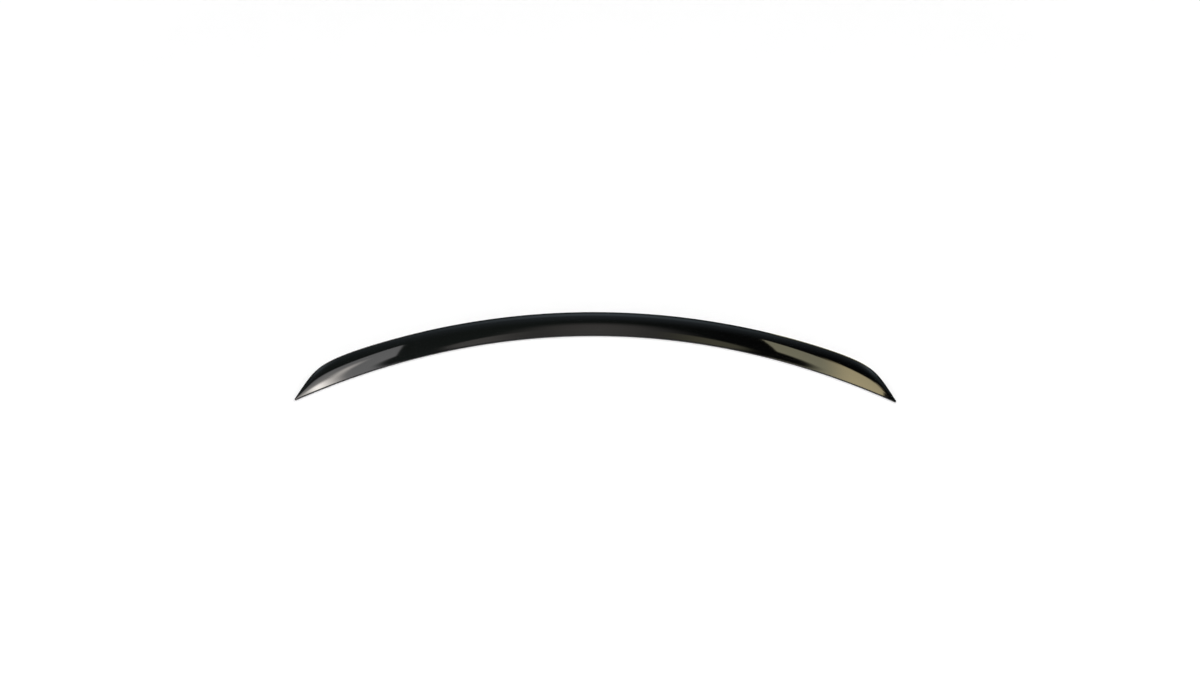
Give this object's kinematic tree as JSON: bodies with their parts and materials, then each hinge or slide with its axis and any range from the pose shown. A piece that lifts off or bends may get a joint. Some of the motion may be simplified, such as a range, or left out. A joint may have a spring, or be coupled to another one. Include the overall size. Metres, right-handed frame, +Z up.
{
  "type": "car boot-lid lip spoiler",
  "caption": "Slim crescent lip spoiler for a saloon's boot lid: a low deck that sweeps up to a lip, pointed ends, and a ribbed underside with flat bonding flanges.",
  "frame": {"origin": "on the bonding plane, on the centre line of the car, in the middle of the flange along the leading edge", "axes": "+X across the car, +Y to the rear of the car, +Z up, away from the boot lid"},
  "size_m": [1.202, 0.2268, 0.0202],
  "materials": {
    "gloss_black_plastic": "piano-black gloss on the top skin, lip and rear face; satin as moulded on the underside"
  },
  "bodies": {
    "root": {"spoiler": "gloss_black_plastic"}
  },
  "joints": []
}
